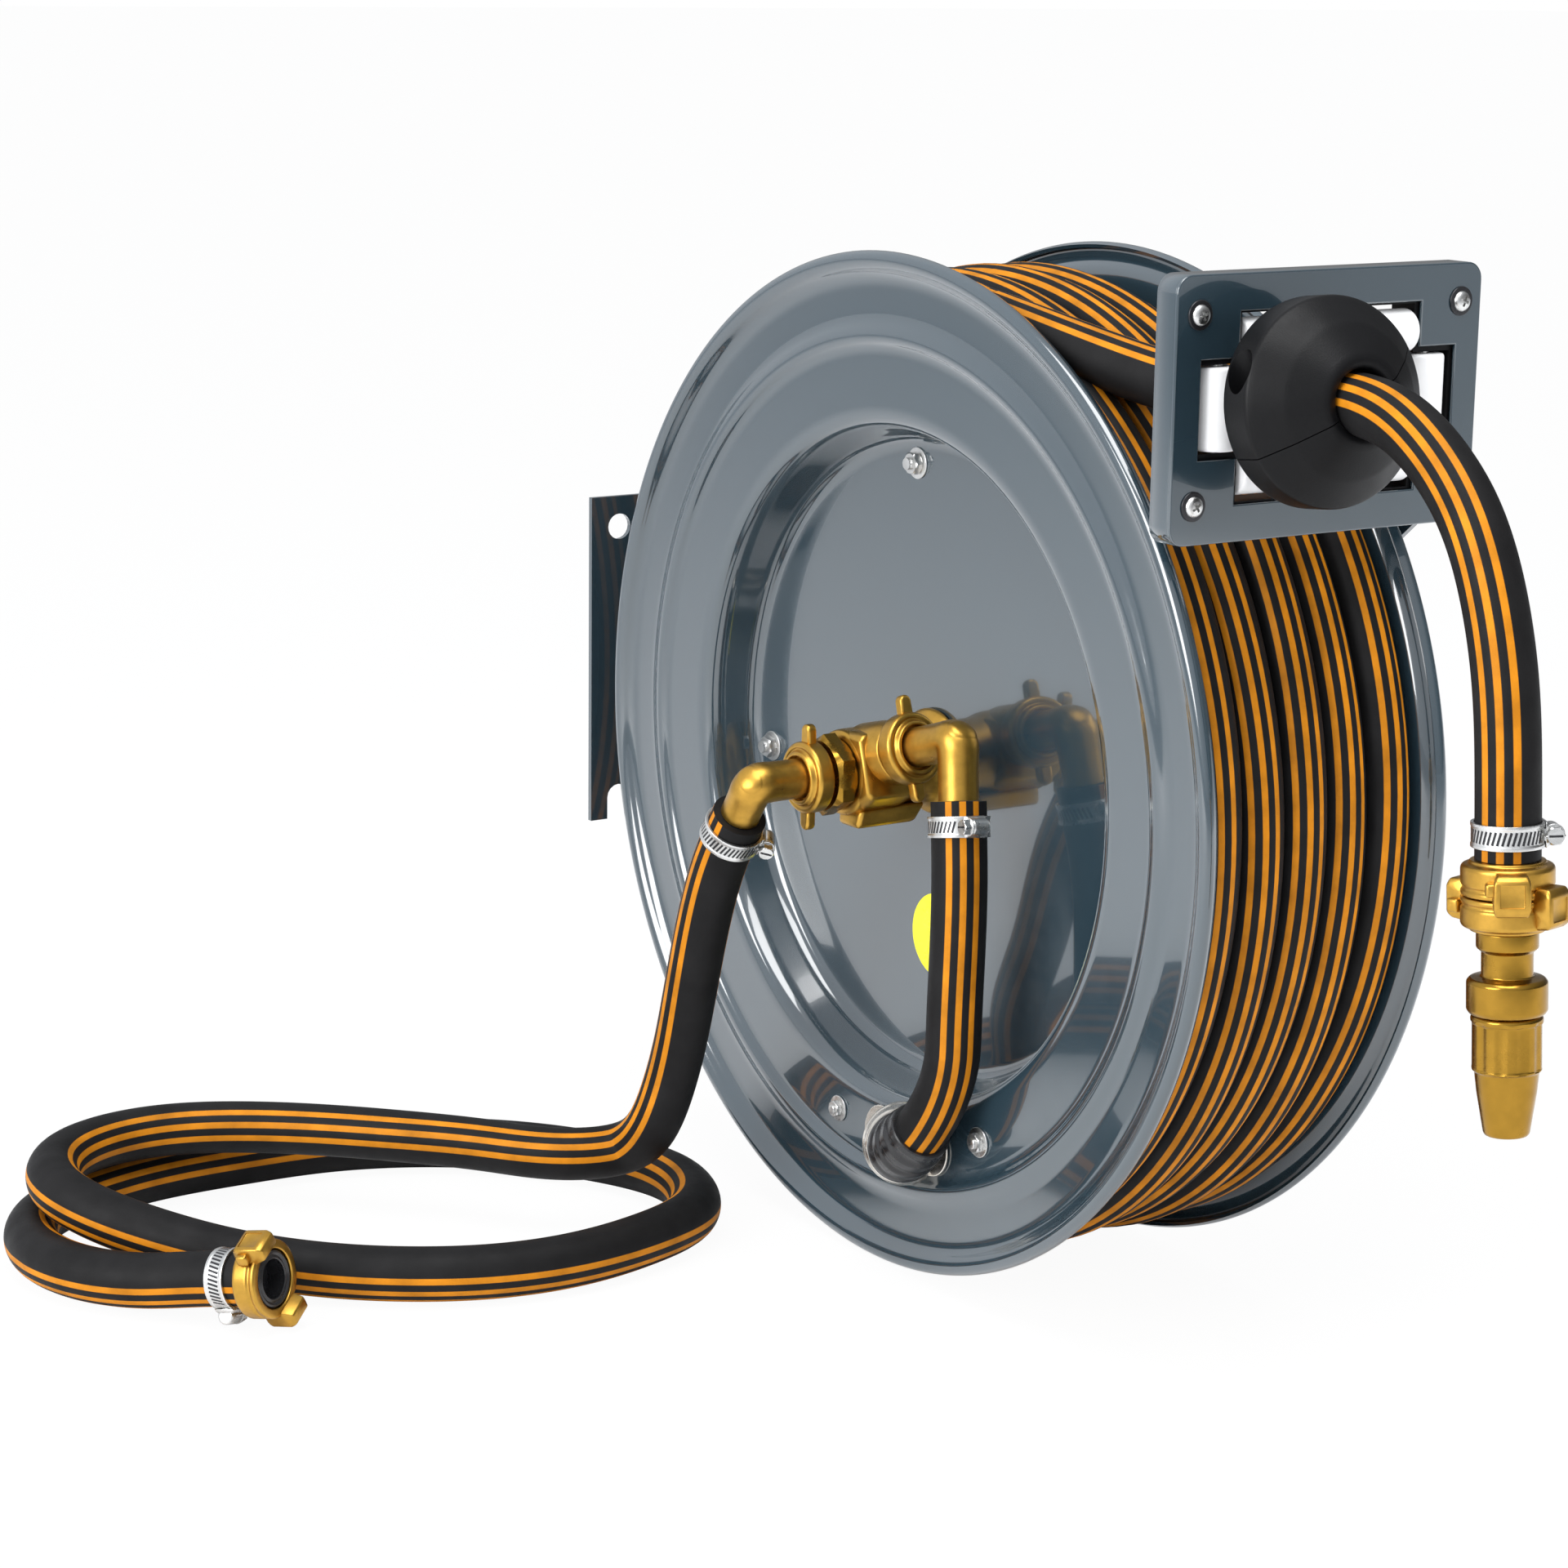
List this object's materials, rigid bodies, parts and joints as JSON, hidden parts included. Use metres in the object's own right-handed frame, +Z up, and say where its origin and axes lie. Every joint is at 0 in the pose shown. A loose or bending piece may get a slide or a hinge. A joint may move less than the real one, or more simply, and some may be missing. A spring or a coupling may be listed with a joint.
{
  "type": "fire hose reel",
  "caption": "Wall-mounted spring-rewind water hose reel: pressed-steel drum on a one-sided arm, roller hose guide, wound rubber hose with ball stop and claw-coupled spray nozzle.",
  "frame": {"origin": "on the back face of the wall plate, where it rests on the wall, level with the drum's axis and midway between the flanges", "axes": "+X along the drum's axis from the water swivel to the support arm, +Y into the wall, +Z up"},
  "size_m": [0.5492, 0.7147, 0.5088],
  "materials": {
    "blue_grey_paint": "glossy baked paint",
    "brass": "machined, lightly tarnished",
    "zinc_steel": "zinc plated",
    "black_hose": "matte black rubber with two groups of three orange stripes",
    "black_plastic": "satin moulded",
    "white_plastic": "satin moulded"
  },
  "bodies": {
    "frame": {"arm_bolt_1": "zinc_steel", "arm_bolt_2": "zinc_steel", "guide_arm": "blue_grey_paint", "guide_arm_bolt": "zinc_steel", "guide_frame": "black_plastic", "guide_plate": "blue_grey_paint", "guide_screw_1": "zinc_steel", "guide_screw_2": "zinc_steel", "guide_screw_3": "zinc_steel", "guide_screw_4": "zinc_steel", "guide_tab_bolt": "zinc_steel", "hose_coupling": "brass", "hose_lead": "black_hose", "hose_stop_lower": "black_plastic", "hose_stop_upper": "black_plastic", "inlet_clamp": "zinc_steel", "inlet_elbow": "brass", "inlet_wing_nut": "brass", "main_shaft": "zinc_steel", "nozzle_body": "brass", "nozzle_clamp": "zinc_steel", "nozzle_coupling": "brass", "outlet_hose": "black_hose", "pawl_pin": "zinc_steel", "roller_bottom_pin": "zinc_steel", "roller_left_pin": "zinc_steel", "roller_right_pin": "zinc_steel", "roller_top_pin": "zinc_steel", "shaft_nut": "zinc_steel", "supply_clamp": "zinc_steel", "supply_coupling": "brass", "supply_hose": "black_hose", "supply_seal": "black_plastic", "support_arm": "blue_grey_paint", "swivel_nipple": "brass", "wall_plate": "blue_grey_paint"},
    "drum": {"front_flange": "blue_grey_paint", "rear_flange": "blue_grey_paint", "drum_core": "blue_grey_paint", "hub_bolt_ring": "zinc_steel", "spring_case": "zinc_steel", "rewind_spring": "zinc_steel", "ratchet_wheel": "zinc_steel", "front_bush": "black_plastic", "rear_bush": "black_plastic", "hose_winding": "black_hose", "hose_inner_layers": "black_hose", "swivel_body": "brass", "outlet_wing_nut": "brass", "outlet_elbow": "brass", "connecting_clamp": "zinc_steel", "connecting_hose": "black_hose", "grommet_boot": "black_plastic", "grommet_ring": "zinc_steel"},
    "pawl": {"ratchet_pawl": "zinc_steel"},
    "roller_top": {"roller_top": "white_plastic"},
    "roller_bottom": {"roller_bottom": "white_plastic"},
    "roller_left": {"roller_left": "white_plastic"},
    "roller_right": {"roller_right": "white_plastic"},
    "nozzle_sleeve": {"nozzle_sleeve": "brass"}
  },
  "joints": [
    {"name": "drum_spin", "type": "hinge", "parent": "frame", "child": "drum", "pos_m": [0, -0.28, 0], "axis": [1, 0, 0], "range_deg": [0, 4410], "stiffness_Nm_per_rad": 0.1, "springref_deg": -4583.66, "deforming": ["hose_lead"]},
    {"name": "pawl_swing", "type": "hinge", "parent": "frame", "child": "pawl", "pos_m": [0.0393, -0.204, 0.03], "axis": [1, 0, 0], "range_deg": [0, 7.5], "stiffness_Nm_per_rad": 0.02, "springref_deg": -17.19},
    {"name": "roller_top_spin", "type": "hinge", "parent": "frame", "child": "roller_top", "pos_m": [0, -0.50891, 0.22851], "axis": [1, 0, 0], "continuous": true},
    {"name": "roller_bottom_spin", "type": "hinge", "parent": "frame", "child": "roller_bottom", "pos_m": [0, -0.50891, 0.17151], "axis": [1, 0, 0], "continuous": true},
    {"name": "roller_left_spin", "type": "hinge", "parent": "frame", "child": "roller_left", "pos_m": [-0.059, -0.50891, 0.20001], "axis": [0, 0, 1], "continuous": true},
    {"name": "roller_right_spin", "type": "hinge", "parent": "frame", "child": "roller_right", "pos_m": [0.059, -0.50891, 0.20001], "axis": [0, 0, 1], "continuous": true},
    {"name": "nozzle_twist", "type": "hinge", "parent": "frame", "child": "nozzle_sleeve", "pos_m": [-0.04799, -0.68881, 0.00938], "axis": [0.0004, -0.0712, -0.9975], "range_deg": [0, 270]}
  ]
}
